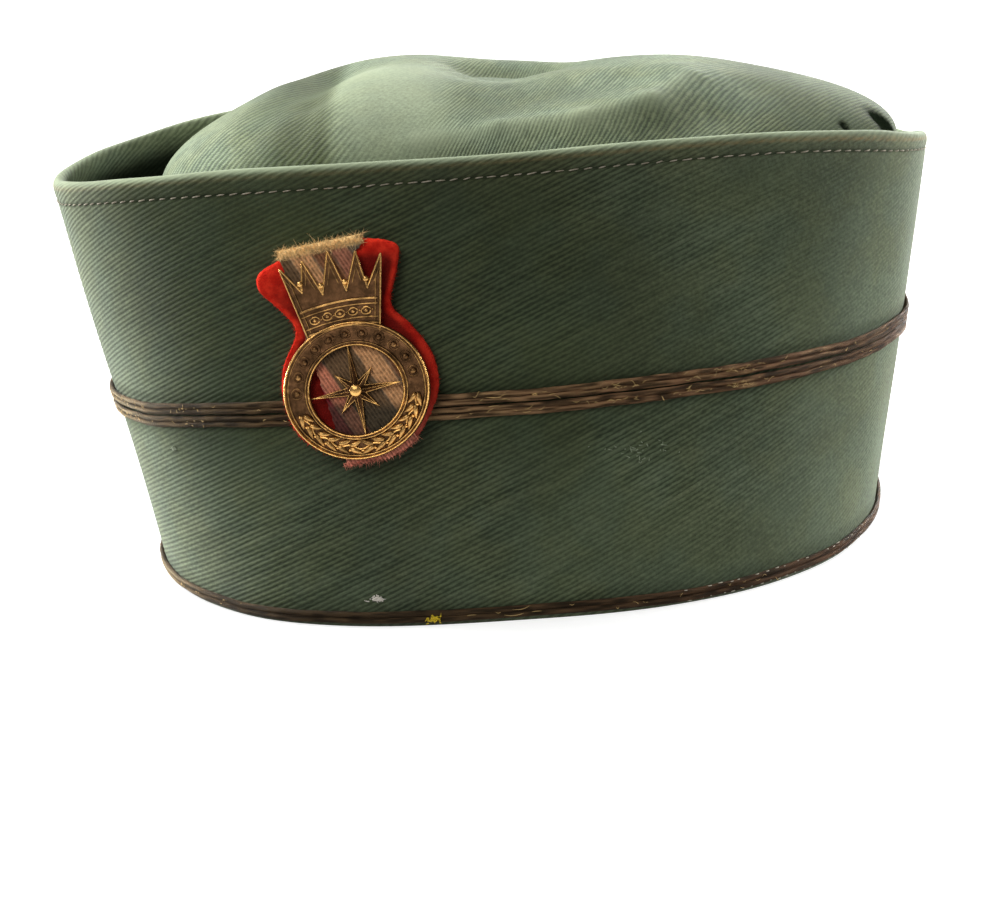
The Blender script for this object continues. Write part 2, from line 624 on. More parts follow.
random = np.random.default_rng(11)
loose_count = LOOSE_THREADS.count
column = (loose_count, 1)
near_rub = np.radians(random.choice(RUBBED_ANGLES, loose_count) + random.normal(0, 2.5, loose_count))
anywhere = random.uniform(0, 2 * np.pi, loose_count)
loose_start = np.where(random.random(loose_count) < 0.6, near_rub, anywhere)[:, None]
loose_share = np.linspace(0, 1, 9)
loose_length = LOOSE_THREADS.length * random.uniform(0.35, 1.3, column)
loose_angle = loose_start + loose_share * loose_length / SIDE_RADIUS
which = random.choice(3, column, p=list(LOOSE_SHARES.values()))
on_strip = np.choose(which, [braid_path(loose_angle, strip) for strip in LOOSE_SHARES])
sway = random.uniform(-0.45, 0.45, column) * np.sin(np.pi * loose_share) ** 1.5
drift = random.uniform(-0.8, 0.8, column) + random.normal(0, 0.45, column) * loose_share**2
loose_height = np.maximum(on_strip + sway + drift, 0.4)
loose_rise = random.random(column) * loose_share ** random.uniform(0.5, 2, column)
loose_off = BRAID.gap + BRAID.thickness + LOOSE_THREADS.stand * loose_rise
loose_lines = off_band(loose_angle, loose_height, loose_off)
loose_radii = LOOSE_THREADS.radius * np.sqrt(1.03 - (2 * loose_share - 1) ** 2)
loose_threads = thread_piece(
    "loose_gold_threads", loose_lines, loose_radii, 4, LOOSE_GOLD, Metallic=0.7, Roughness=0.4
)

# Braid stitches
# Pale stitches show along both edges of the bottom braid at the rear of the left side, where it has come
# away a little. Each is a short loop of the sewing thread.

BRAID_STITCHES = Sizes(start=289, end=336, count=27, half_length=0.7, radius=0.13, rise=1.15)
UPPER_EDGE_AHEAD = 0.012
REAR_RADIUS = 90
SEWING_THREAD = (0.55, 0.5, 0.38)

random = np.random.default_rng(12)
dash_at = np.radians(np.linspace(BRAID_STITCHES.start, BRAID_STITCHES.end, BRAID_STITCHES.count))
dash_at = np.concatenate([dash_at, dash_at + UPPER_EDGE_AHEAD])[:, None]
dash_at = dash_at + random.normal(0, 0.004, dash_at.shape)
dash_share = np.linspace(-1, 1, 7)
dash_half = BRAID_STITCHES.half_length * random.uniform(0.5, 1.2, dash_at.shape)
dash_angle = dash_at + dash_share * dash_half / REAR_RADIUS
dash_rise = np.repeat([1, -1], BRAID_STITCHES.count)[:, None] * BRAID_STITCHES.rise
dash_height = braid_path(dash_angle, "bottom_braid") + dash_rise + random.normal(0, 0.12, dash_at.shape)
dash_off = BRAID.gap + 0.8 * BRAID.thickness - 0.2 * dash_share**2 + waves(dash_angle, dash_height)
dash_lines = off_band(dash_angle, dash_height, dash_off)
dash_radii = BRAID_STITCHES.radius * np.sqrt(1.05 - dash_share**2)
braid_stitches = thread_piece("braid_stitches", dash_lines, dash_radii, 5, SEWING_THREAD, Roughness=0.7)

# Lint and flecks
# A tuft of white lint and a yellow fleck sit at the bottom edge near the badge, and broken yarns of the
# drill stand up in a rubbed place behind the middle of the left side and in a small one near its front.

LINT_RADIUS = 0.15


def table(names, *rows):
    """Each row of values as sizes under the columns' names."""
    return [Sizes(**dict(zip(names.split(), row))) for row in rows]


LINT = table(
    "angle height spread count length colour",
    (256.2, 6.4, 0.42, 80, 0.45, (0.75, 0.7, 0.62)),
    (283.4, 36.4, 2.2, 34, 0.7, (0.2, 0.24, 0.15)),
    (263.3, 1.6, 0.55, 50, 0.5, (0.75, 0.55, 0.02)),
    (221.0, 38.4, 0.4, 14, 0.8, (0.3, 0.34, 0.24)),
)

random = np.random.default_rng(13)
lint_share = np.linspace(0, 1, 6)
for number, lint in enumerate(LINT):
    column = (lint.count, 1)
    angle = np.radians(lint.angle) + random.normal(0, lint.spread * 1.5, column) / SIDE_RADIUS
    height = lint.height + random.normal(0, 0.7 * lint.spread, column)
    angle = angle + random.normal(0, 1, column) * lint.length * lint_share / SIDE_RADIUS
    curl = random.normal(0, 0.5, column) * lint_share + random.normal(0, 0.5, column) * lint_share**2
    height = np.maximum(height + curl * lint.length, 0.3)
    on_braid = ease(-height, -4.4, -3.2) * (BRAID.thickness + BRAID.gap)
    hump = 0.45 * np.sin(np.pi * 0.8 * lint_share) * random.random(column)
    lines = off_band(angle, height, waves(angle, height) + on_braid + hump)
    radii = LINT_RADIUS * (1.1 - lint_share)
    lint_piece = thread_piece("lint_%d" % number, lines, radii, 4, lint.colour, Roughness=0.85)

# Crown
# The crown is one soft piece of the same drill, drawn over in a dome that leaves a pocket at the front.
# Its ribs run slantwise over the cap. It has creased in use, and its walls go down inside the band.

CROWN = Sizes(centre_x=-9.8, base=95.0, front=73.5, rear=113.0, half_width=59.0)
CROWN_POWER = Sizes(length=2.3, width=2.1)
CROWN_WALL = 1.5
CROWN_FOOT = 3.15
WALL_LENGTH = 97.6
CREST = Sizes(front=122.1, rear=117.1, fall_start=-35, fall_end=15)
DOME = Sizes(roundness=2.5, front_roundness=1.6, shoulder=1.88)
CROWN_FOLDS = table(
    "x y to_x to_y width rise",
    (10, -49, 38, -38, 8, 1.4),
    (38, -38, 50, -17, 9, 1.4),
    (34, -52, 78, -34, 10, -2.2),
    (-37, 0, -57, -34, 9, -2.0),
    (2, -4, 6, 10, 11, -3.5),
    (-14, 28, 8, 30, 10, 0.6),
    (21, 4, 23, 30, 9, -0.8),
    (50, -10, 52, 14, 20, 1.8),
    (-17, -52, 4, -47.5, 3.2, 0.8),
    (4, -47.5, 25, -44.5, 3.2, 1.5),
    (25, -44.5, 42, -37.5, 3.4, 1.6),
    (42, -37.5, 52, -22, 4.2, 1.4),
    (0, -35, 32, -23, 10, -1.6),
    (42, -46, 56, -38, 6, -1.3),
    (58, -34, 67, -22, 6, -1.0),
    (-39, 8, -40, -26, 5, -1.1),
    (-40, -26, -44, -46, 5, -1.2),
    (-52, 4, -61, -27, 9, 1.5),
    (-3, 11, 14, 14, 7, -2.6),
)
CROWN_HOLES = table("x y width rise dark", (99, -15, 3.2, -8, 4), (87.6, -28, 1.0, -3, 3))
CROWN_SMOOTH = Sizes(x=-21, y=-31, along=14, across=38, turn=np.radians(3))
CROWN_UNFADED = table(
    "x y to_x to_y width share",
    (-64, 0, -70, -34, 12, 0.2),
    (-3, 12, 15, 14, 5, 0.4),
    (-2, -30, 20, 0, 16, 0.2),
    (0, -38, 30, -28, 9, 0.4),
    (37, -48, 55, -37, 6, 0.4),
)
CROWN_RUBBED = table(
    "x y to_x to_y width share",
    (-14, -51, 25, -45, 2.6, 0.45),
    (25, -45, 42, -37.5, 2.8, 0.45),
    (42, -37.5, 51, -24, 3.2, 0.35),
)
FRONT_FOLD = Sizes(edge=33, full=38, fading=46, gone=66, share=0.92)
REAR_UNFADED = Sizes(start=47, full=76, share=0.82)
CROWN_GROOVE = (0.058, 0.077, 0.048)
CROWN_UNFADED_TINT = (0.32, 0.34, 0.2)
INSIDE_DARK = (0.07, 0.09, 0.055)
INSIDE_PALE = (0.14, 0.17, 0.11)
CROWN_RIBS = Sizes(slope=0.62, steeper=2.1, middle=17, spread=31, rear_steeper=1.3)
RIB_PITCHES = Sizes(across=[-240, -200, -10, 15], pitch=[3.1, 2.3, 2.3, 1.5])
CROWN_SAMPLES_PER_RIB = 3
ROW_POINTS = 88
CROWN_EDGE = 1.06
CROWN_RUN = 230
EDGE_STEPS = 4000


def along_line(x, y, line):
    """bell(distance to the line, its width): 1 on the line and fading away from it."""
    away_x, away_y = x - line.x, y - line.y
    run_x, run_y = line.to_x - line.x, line.to_y - line.y
    share = np.clip((away_x * run_x + away_y * run_y) / (run_x**2 + run_y**2), 0, 1)
    return bell(np.hypot(away_x - share * run_x, away_y - share * run_y), line.width)


def fold_height(x, y):
    """The sum of rise * bell(distance to the fold's line, width) over the folds, creases and holes."""
    holes = sum(hole.rise * bell(np.hypot(x - hole.x, y - hole.y), hole.width) for hole in CROWN_HOLES)
    return holes + sum(fold.rise * along_line(x, y, fold) for fold in CROWN_FOLDS)


def crown_base(angle):
    """The dome's foot: an oval with a short front and a long rear."""
    along = rounded(np.cos(angle), CROWN_POWER.length)
    reach = np.where(along > 0, CROWN.rear, CROWN.front)
    return CROWN.centre_x + reach * along, CROWN.half_width * rounded(np.sin(angle), CROWN_POWER.width)


def dome(angle, out):
    """Height = base + (crest - base + folds) * (1 - out ** roundness) ** (1 / shoulder), where out is the
    share of the way from the dome's middle to its foot."""
    base_x, base_y = crown_base(angle)
    x = CROWN.centre_x + (base_x - CROWN.centre_x) * out
    y = base_y * out
    crest = CREST.front + (CREST.rear - CREST.front) * ease(x, CREST.fall_start, CREST.fall_end)
    frontness = np.maximum(0, -np.cos(angle)) ** 2
    roundness = DOME.roundness + (DOME.front_roundness - DOME.roundness) * frontness
    rise = np.maximum(1 - out**roundness, 0) ** (1 / DOME.shoulder)
    return np.stack([x, y, CROWN.base + (crest - CROWN.base + fold_height(x, y)) * rise], -1)


def crown_wall(angle, down):
    """The wall below the dome: a straight line at each angle from the dome's foot to the head opening."""
    top = np.stack(np.broadcast_arrays(*crown_base(angle), CROWN.base), -1)
    level = unit(band_directions(angle, 0)[2] * [1, 1, 0])
    return top + (band_face(angle, 0) - CROWN_FOOT * level - top) * np.asarray(down)[..., None]


profile_out = 1 - np.linspace(1, 0, 400) ** 2
profile_lengths = lengths_along(dome(1.5 * np.pi, profile_out))
cloth_length = profile_lengths[-1]
cloth_stretch = cloth_length / CROWN.half_width


def crown_face(angle, reach):
    """The dome, and below it the wall, by the cloth's length from the dome's middle as a share of the
    length to its foot. Equal steps of reach are about equal lengths of cloth."""
    out = np.interp(np.minimum(reach, 1) * cloth_length, profile_lengths, profile_out)
    down = np.maximum(reach - 1, 0) * cloth_length / WALL_LENGTH
    return np.where((reach <= 1)[..., None], dome(angle, out), crown_wall(angle, down))


def cloth_angle_reach(a, b):
    """The angle and reach of a place on the flat cloth, a along the cap and b across it. Reach solves
    (|a| / (A reach)) ** p + (|b| / (B reach)) ** q = 1 by four steps of Newton's rule."""
    half_a = np.where(a > 0, CROWN.rear, CROWN.front) * cloth_stretch
    half_b = CROWN.half_width * cloth_stretch
    p, q = CROWN_POWER.length, CROWN_POWER.width
    u, v = np.maximum(np.abs(a) / half_a, 1e-6), np.maximum(np.abs(b) / half_b, 1e-6)
    reach = (u**2.2 + v**2.2) ** (1 / 2.2)
    for _ in range(4):
        value = (u / reach) ** p + (v / reach) ** q - 1
        reach = reach + value * reach / (p * (u / reach) ** p + q * (v / reach) ** q)
    return np.arctan2(np.sign(b) * (v / reach) ** (q / 2), np.sign(a) * (u / reach) ** (p / 2)), reach


slope_a = np.linspace(-150, 150, 3001)
rib_slope = (
    CROWN_RIBS.slope
    + CROWN_RIBS.steeper * bell(slope_a - CROWN_RIBS.middle, CROWN_RIBS.spread)
    + CROWN_RIBS.rear_steeper * ease(slope_a, 0, 60)
)
rib_climb = running((rib_slope[1:] + rib_slope[:-1]) / 2 * np.diff(slope_a))


def rib_start(a):
    """How far across the cap a rib has gone by the place a along it: the integral of its slope."""
    return np.interp(a, slope_a, rib_climb)


edge_x, edge_y = crown_base(np.linspace(0, 2 * np.pi, EDGE_STEPS + 1))
edge_a = (edge_x - CROWN.centre_x) * cloth_stretch * CROWN_EDGE
edge_cross = edge_y * cloth_stretch * CROWN_EDGE - rib_start(edge_a)
first, last = np.argmin(edge_cross), np.argmax(edge_cross)
cross_grid = np.linspace(edge_cross[first], edge_cross[last], EDGE_STEPS + 1)
rib_pitch = np.interp(cross_grid, RIB_PITCHES.across, RIB_PITCHES.pitch)
ribs_before = running(np.diff(cross_grid) / rib_pitch[1:])
rib_rows = int(ribs_before[-1] * 0.996 * CROWN_SAMPLES_PER_RIB)
row_ribs = ribs_before[-1] / 2 + (np.arange(rib_rows) - (rib_rows - 1) / 2) / CROWN_SAMPLES_PER_RIB
cross = np.interp(row_ribs, ribs_before, cross_grid)
order = np.roll(np.arange(EDGE_STEPS), -first)
steps = (last - first) % EDGE_STEPS
edge_sides = [order[: steps + 1], np.append(order[steps:], first)[::-1]]
ends = [np.interp(cross, np.maximum.accumulate(edge_cross[side]), edge_a[side]) for side in edge_sides]
run_start, run_end = np.minimum(*ends)[:, None], np.maximum(*ends)[:, None]
even_share = np.linspace(0, 1, ROW_POINTS)
eased_share = (1 - np.cos(np.pi * even_share)) / 2
cloth_a = run_start + (run_end - run_start) * (0.65 * even_share + 0.35 * eased_share)
crown_angle, crown_reach = cloth_angle_reach(cloth_a, cross[:, None] + rib_start(cloth_a))
crown_points = crown_face(crown_angle, crown_reach)
crown_out = unit(np.cross(np.gradient(crown_points, axis=1), np.gradient(crown_points, axis=0)))


def smoothness(x, y):
    """The worn patch of the crown: a bell over an oval, turned to lie along the front fold."""
    x, y = x - CROWN_SMOOTH.x, y - CROWN_SMOOTH.y
    cosine, sine = np.cos(CROWN_SMOOTH.turn), np.sin(CROWN_SMOOTH.turn)
    along = (x * cosine + y * sine) / CROWN_SMOOTH.along
    across = (y * cosine - x * sine) / CROWN_SMOOTH.across
    return bell(np.hypot(along, across) ** 2, 1)


crown_flat = 1 - 0.97 * smoothness(crown_points[..., 0], crown_points[..., 1])
crown_rib = (np.arange(rib_rows) + 0.5)[:, None] / CROWN_SAMPLES_PER_RIB
crown_points = crown_points + crown_out * rib_relief(crown_rib, crown_flat)[..., None]
dome_faces, dome_places = grid_faces(rib_rows, ROW_POINTS)

dome_grid = np.arange(rib_rows * ROW_POINTS).reshape(rib_rows, ROW_POINTS)
border = np.concatenate([dome_grid[0], dome_grid[1:, -1], dome_grid[-1, -2::-1], dome_grid[-2:0:-1, 0]])
border_angle, border_reach = crown_angle.ravel()[border], crown_reach.ravel()[border]
below_border = 1 + WALL_LENGTH / cloth_length - border_reach
wall_levels = [0.1, 0.55, 1.0]
under_levels = [1.0, 0.93, 0.8, 0.6, 0.35, 0.03]
inward = unit(crown_wall(border_angle, 0) * [1, 1, 0]) * CROWN_WALL
skirt = [crown_face(border_angle, border_reach + below_border * level) for level in wall_levels]
rings = skirt + [ring - inward for ring in skirt[::-1]]
for level in under_levels:
    ring = crown_face(border_angle, np.full(border_angle.shape, level))
    ring[..., 2] -= CROWN_WALL * (2.0 if level < 0.9 else 1.2)
    ring[..., :2] -= (inward * max(0.0, level - 0.5) * 2)[..., :2]
    rings.append(ring)
ring_faces = grid_faces(len(rings), len(border), False, True)[0]
seam = np.concatenate([border, dome_grid.size + np.arange(len(border))])
seam_faces = seam[grid_faces(2, len(border), False, True)[0]]
wall_faces = np.concatenate([seam_faces, dome_grid.size + ring_faces])[:, ::-1]
pole_point = dome(np.zeros(1), np.zeros(1)) - [[0, 0, CROWN_WALL]]
crown_all = np.concatenate([crown_points.reshape(-1, 3), *rings, pole_point])
crown_places = np.concatenate([dome_places[..., ::-1], np.zeros((len(wall_faces), 4, 2))])
crown_kinds = np.concatenate([np.zeros(len(dome_faces)), np.ones(len(wall_faces))])

crown_x, crown_y = crown_all[:, 0], crown_all[:, 1]
crown_rubbed = sum(line.share * along_line(crown_x, crown_y, line) for line in CROWN_RUBBED)
crown_unfaded = sum(line.share * along_line(crown_x, crown_y, line) for line in CROWN_UNFADED)
behind_fold = 1 - ease(-crown_x, FRONT_FOLD.fading, FRONT_FOLD.gone)
behind_fold = FRONT_FOLD.share * behind_fold * ease(-crown_x, FRONT_FOLD.edge, FRONT_FOLD.full)
rear_unfaded = REAR_UNFADED.share * ease(crown_x, REAR_UNFADED.start, REAR_UNFADED.full)
in_holes = [bell(np.hypot(crown_x - hole.x, crown_y - hole.y), hole.width) for hole in CROWN_HOLES]
crown_looks = {
    "wear": 0.62 * smoothness(crown_x, crown_y) + crown_rubbed,
    "dark": np.clip(sum(hole.dark * shade for hole, shade in zip(CROWN_HOLES, in_holes)), 0, 1),
    "unfaded": np.clip(crown_unfaded + behind_fold + rear_unfaded, 0, 1),
    "blurred": 0.6 * smoothness(crown_x, crown_y),
}
crown_ribs = rib_rows / CROWN_SAMPLES_PER_RIB
crown_green = drill("crown_green_drill", crown_ribs, CROWN_RUN, CROWN_GROOVE, CROWN_UNFADED_TINT)
inside = Finish("drill_inside", Roughness=0.95)
inside_grain = inside.noise(1400.0, 3.0)
inside.set(
    Base_Color=inside.mix(inside.ramp(inside_grain, 0.3, 0.7), INSIDE_DARK, INSIDE_PALE),
    Normal=inside.bump(inside_grain, 0.0002),
)
crown_faces = np.concatenate([dome_faces, wall_faces])
crown_stuffs = [crown_green, inside.material]
crown = make_piece(
    "crown_drill", crown_all, crown_faces, crown_stuffs, crown_looks, crown_places, crown_kinds
)
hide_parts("crown")

# Felt backing
# A scrap of scarlet felt cut to the badge's outline, worn behind it on the curve of the band. Its edge is
# fuzzy, its top left corner has lifted, and it has faded to pink at the bottom right.

BADGE_PLACE = Sizes(angle=np.radians(257), height=55.1, lean_left=np.radians(9.2))
BAND_CURVE_RADIUS = 145
FELT = Sizes(back=1.9, front=3.4, middle=14, round=420, rings=34)
FELT_OUTLINE = [
    (0, 34.2), (9, 33.8), (15.6, 31), (14.7, 26), (11.6, 18), (15.1, 12.3), (18.5, 5), (18.4, -3),
    (14.6, -9.6), (8.5, -15.4), (-1, -16.3), (-10, -13.6), (-16.5, -8), (-18.6, 0), (-17.1, 8.1),
    (-12.1, 15.8), (-14.4, 21.3), (-18.6, 27.3), (-17.2, 31.2), (-9, 33.6),
]
FELT_LIFT = Sizes(across=-17.5, along=29, width=6, height=1.5, lit_width=7)
FELT_FADE = Sizes(across=11, along=-15, width=7)
FELT_HAIRS = Sizes(count=1500, radius=0.035)
FELT_RED = (1.0, 0.05, 0.022)
FELT_DEEP = (0.66, 0.018, 0.009)
FELT_SHADE = (0.1, 0.006, 0.005)
FELT_PINK = (0.62, 0.16, 0.11)

badge_middle = band_face(BADGE_PLACE.angle, BADGE_PLACE.height)
badge_out = band_directions(BADGE_PLACE.angle, BADGE_PLACE.height)[2]
badge_level = unit(np.array([-badge_out[1], badge_out[0], 0]))
badge_up = np.cross(badge_out, badge_level)
lean_cosine, lean_sine = np.cos(BADGE_PLACE.lean_left), np.sin(BADGE_PLACE.lean_left)
badge_right = badge_level * lean_cosine + badge_up * lean_sine
badge_axis = badge_up * lean_cosine - badge_level * lean_sine


def on_badge(across, along, off):
    """A place from the badge's own measures: across to its right, along its axis and out from the band."""
    measures = np.broadcast_arrays(across, along, off)
    across, along, off = (np.asarray(value, float)[..., None] for value in measures)
    return badge_middle + across * badge_right + along * badge_axis + off * badge_out


def badge_measures(points):
    """How far across and along the badge points lie, the opposite of on_badge."""
    return (points - badge_middle) @ badge_right, (points - badge_middle) @ badge_axis


def band_curve(across):
    """How far the band falls away: across ** 2 / (2 * radius)."""
    return across**2 / (2 * BAND_CURVE_RADIUS)


def smooth_loop(corners, count):
    """A closed Catmull-Rom curve through the corners, at equal steps of its length."""
    corners = np.array(corners, float)
    a, before, after, beyond = (np.roll(corners, step, 0)[:, None] for step in (0, 1, -1, -2))
    t = np.linspace(0, 1, 24, endpoint=False)[None, :, None]
    curve = 0.5 * (
        2 * a + (after - before) * t + (2 * before - 5 * a + 4 * after - beyond) * t**2
        + (3 * a - before - 3 * after + beyond) * t**3
    )
    curve = np.concatenate([curve.reshape(-1, 2), curve[0, :1]])
    length = lengths_along(curve)
    steps = np.arange(count) / count * length[-1]
    return np.stack([np.interp(steps, length, curve[:, k]) for k in (0, 1)], -1)


def ripple(a, b, seed, size, count=14, finest=3.0):
    """Random soft relief: a sum of `count` sines in random directions, with waves down to `finest` long."""
    random = np.random.default_rng(seed)
    total = np.zeros(np.broadcast(a, b).shape)
    for _ in range(count):
        turn, wave = random.uniform(0, np.pi), finest * random.uniform(1, 4)
        total += np.sin((a * np.cos(turn) + b * np.sin(turn)) * 2 * np.pi / wave + random.uniform(0, 6.3))
    return size * total / np.sqrt(count)


def triangles(faces):
    """Each face of four corners as two of three."""
    return np.concatenate([faces[:, [0, 1, 2]], faces[:, [0, 2, 3]]])


def spot(across, along, place, width):
    """bell(distance from a place, width)."""
    return bell(np.hypot(across - place.across, along - place.along), width)


felt_edge = smooth_loop(FELT_OUTLINE, FELT.round)
front_share = np.linspace(0, 1, FELT.rings) ** 0.75
edge_share, back_share = [0.99, 1.0, 0.99, 0.965], np.linspace(0.9, 0.03, 8)
felt_share = np.concatenate([front_share[1:] * 0.965, edge_share, back_share])[:, None]
felt_layer = np.concatenate([np.ones(FELT.rings - 1), [0.8, 0.45, 0.12, 0], 0 * back_share])[:, None]
fray = 1 + 0.02 * ripple(felt_edge[:, 0], felt_edge[:, 1], 21, 0.12, 20, 1.0)
felt_across = felt_edge[:, 0] * felt_share * fray
felt_along = FELT.middle + (felt_edge[:, 1] - FELT.middle) * felt_share * fray
felt_rough = ripple(felt_across, felt_along, 22, 0.09, 16, 1.2)
lifted = FELT_LIFT.height * spot(felt_across, felt_along, FELT_LIFT, FELT_LIFT.width)
felt_off = FELT.back + (FELT.front - FELT.back + felt_rough) * felt_layer
felt_points = on_badge(felt_across, felt_along, felt_off + lifted - band_curve(felt_across)).reshape(-1, 3)
felt_faces = grid_faces(len(felt_share), FELT.round, False, True)[0]
felt_count = len(felt_points)
felt_poles = on_badge(0, FELT.middle, np.array([FELT.front, FELT.back]))
around = np.arange(FELT.round)
next_around = np.roll(around, -1)
last_ring = felt_count - FELT.round
front_pole = np.stack([np.full_like(around, felt_count), next_around, around], -1)
back_pole = np.stack([last_ring + around, last_ring + next_around, np.full_like(around, felt_count + 1)], -1)

random = np.random.default_rng(23)
hair_count = FELT_HAIRS.count
hair_at = random.uniform(0, 1, hair_count) * FELT.round
felt_loop = np.concatenate([felt_edge, felt_edge[:1]])
hair_edge = np.stack([np.interp(hair_at, np.arange(FELT.round + 1), felt_loop[:, k]) for k in (0, 1)], -1)
hair_out = unit(hair_edge - [0, FELT.middle])
hair_turn = random.normal(0, 0.9, hair_count)
hair_cosine, hair_sine = np.cos(hair_turn), np.sin(hair_turn)
hair_share = np.linspace(0, 1, 4)
hair_reach = random.uniform(0.25, 1.0, (hair_count, 1)) * hair_share
hair_right = hair_out[:, 0] * hair_cosine - hair_out[:, 1] * hair_sine
hair_up = hair_out[:, 0] * hair_sine + hair_out[:, 1] * hair_cosine
hair_a = 0.985 * hair_edge[:, :1] + hair_right[:, None] * hair_reach
hair_b = 0.985 * hair_edge[:, 1:] + hair_up[:, None] * hair_reach
hair_off = random.uniform(FELT.back + 0.3, FELT.front, (hair_count, 1))
hair_off = hair_off + random.normal(0, 0.35, (hair_count, 1)) * hair_share**2 - band_curve(hair_a)
hair_radii = FELT_HAIRS.radius * (1.05 - hair_share)
hair_points, hair_faces = tubes(on_badge(hair_a, hair_b, hair_off), hair_radii, 3)

felt_all = np.concatenate([felt_points, felt_poles, hair_points])
hair_faces = triangles(hair_faces) + felt_count + len(felt_poles)
felt_faces = np.concatenate([triangles(felt_faces), front_pole, back_pole, hair_faces])[:, ::-1]
all_across, all_along = badge_measures(felt_all)
felt_inside = ease(1 - np.broadcast_to(felt_share, felt_across.shape).ravel(), 0.07, 0.24)
felt_inside = np.concatenate([felt_inside, [1, 1], np.zeros(len(hair_points))])
lobe_lit = spot(all_across, all_along, FELT_LIFT, FELT_LIFT.lit_width)
top_lit = ease(all_along, 28, 32.5)
right_shade = 0.5 * ease(all_across, 3, 15) * (1 - top_lit)
felt_inside = felt_inside * (1 - 0.95 * lobe_lit) * (1 - 0.6 * top_lit) + right_shade
felt_looks = {
    "faded": 0.9 * spot(all_across, all_along, FELT_FADE, FELT_FADE.width),
    "inside": 0.88 * np.clip(felt_inside, 0, 1),
}
wool = Finish("scarlet_felt", Roughness=1.0, Sheen_Roughness=0.5, Sheen_Tint=(1, 0.06, 0.03))
wool_colour = wool.mix(wool.ramp(wool.noise(260.0, 3.0, 0.6), 0.35, 0.65), FELT_DEEP, FELT_RED)
wool_colour = wool.mix(wool.value("inside"), wool_colour, FELT_SHADE)
wool.set(
    Specular_IOR_Level=0.05,
    Sheen_Weight=(1.0 - wool.value("inside")) * 0.7,
    Base_Color=wool.mix(wool.value("faded"), wool_colour, FELT_PINK),
    Normal=wool.bump(wool.noise(2200.0, 3.0, 0.7), 0.0004),
)
felt = make_piece("felt_scarlet", felt_all, felt_faces, [wool.material], felt_looks)
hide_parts("felt_backing")

# Ribbon
# A short piece of ribbed ribbon lies over the felt, folded over its top edge with a tail behind. The fold
# has frayed to cream fluff, the lower end is cut, frayed and dirty, and its stripes have faded.

RIBBON = Sizes(half_width=10, back=3.7, thickness=0.5, slant=np.radians(6.5), middle=18.2, top=35.1)
RIBBON_TAIL = Sizes(back=1.1, end=22, rows=12)
RIBBON_BOTTOM = Sizes(along=-16.7, curve_from=2, curve=0.033, frayed_up_to=6)
RIBBON_TUCKS = Sizes(middle=3.2, bottom=2.8)
RIBBON_RIB = Sizes(pitch=0.82, height=0.13, turn=np.radians(24))
RIBBON_COLUMNS = 160
RIBBON_ROWS = 170
RIBBON_STRIPES = table(
    "middle half_width colour",
    (-11, 4.4, (0.3, 0.015, 0.03)),
    (-4.8, 1.7, (0.66, 0.24, 0.14)),
    (0.8, 3.7, (0.17, 0.1, 0.05)),
    (7.1, 2.3, (0.7, 0.37, 0.17)),
    (11.6, 1.9, (0.3, 0.13, 0.06)),
    (15.6, 1.9, (0.42, 0.17, 0.1)),
)
RIBBON_GROUND = (0.2, 0.15, 0.1)
RIBBON_CREAM = (1.0, 0.68, 0.3)
RIBBON_PINK = (1.0, 0.36, 0.24)
RIBBON_SHADE = (0.045, 0.042, 0.028)
TOP_FLUFF = Sizes(count=1500, left=-12.2, right=8.6, seed=35)
END_FLUFF = Sizes(count=420, left=-7, right=11.8, seed=36)
FLUFF_RADIUS = 0.07


def ribbon_cut(across):
    """How far the lower end curves up: curve * (across - curve_from) ** 2 on the right."""
    return RIBBON_BOTTOM.curve * np.maximum(0, across - RIBBON_BOTTOM.curve_from) ** 2


def over_ribs(across, along):
    """The way square to the ribs."""
    return across * np.cos(RIBBON_RIB.turn) + along * np.sin(RIBBON_RIB.turn)


fold_turn = np.linspace(0, np.pi, 12)[1:-1]
ribbon_face = RIBBON.back + RIBBON.thickness
fold_radius = (ribbon_face - RIBBON_TAIL.back) / 2
front_top = RIBBON.top - fold_radius * 0.75
tail_rows = RIBBON_TAIL.rows
front_walk = np.linspace(0, 1, RIBBON_ROWS)
walk_along = np.concatenate([front_walk, np.ones(len(fold_turn)), np.linspace(1, 0, tail_rows)])[:, None]
ribbon_along = np.concatenate([
    RIBBON_BOTTOM.along + (front_top - RIBBON_BOTTOM.along) * front_walk,
    front_top + 0.75 * fold_radius * np.sin(fold_turn),
    np.linspace(front_top, RIBBON_TAIL.end, tail_rows),
])[:, None]
ribbon_off = np.concatenate([
    np.full(RIBBON_ROWS, ribbon_face),
    RIBBON_TAIL.back + fold_radius * (1 + np.cos(fold_turn)),
    np.full(tail_rows, RIBBON_TAIL.back),
])[:, None]
ribbon_side = np.linspace(-1, 1, RIBBON_COLUMNS)
edge_wave = 0.35 * ripple(ribbon_along, 0 * ribbon_side, 31, 1.0, 6, 4.0)
slanted = (ribbon_along - RIBBON.middle) * np.tan(RIBBON.slant)
tucked = RIBBON_TUCKS.middle * ease(ribbon_along, 9, 13) * (1 - ease(ribbon_along, 30.5, 33.5))
tucked = tucked + RIBBON_TUCKS.bottom * ease(-ribbon_along, 2, 11)
tucked = tucked * np.maximum(ribbon_side, 0)
ribbon_across = ribbon_side * (RIBBON.half_width + 0.25 * edge_wave) - slanted - tucked
low_end = 1 - np.clip((ribbon_along - RIBBON_BOTTOM.along) / RIBBON_BOTTOM.frayed_up_to, 0, 1)
ragged = 0.35 * ripple(ribbon_across, 0 * ribbon_across, 32, 1.0, 12, 0.8)
ribbon_along = ribbon_along + (ribbon_cut(ribbon_across) + ragged) * low_end
rib_turns = over_ribs(ribbon_across, ribbon_along) / RIBBON_RIB.pitch
sag = 0.16 * ripple(ribbon_across, ribbon_along, 33, 1.0, 8, 6.0)
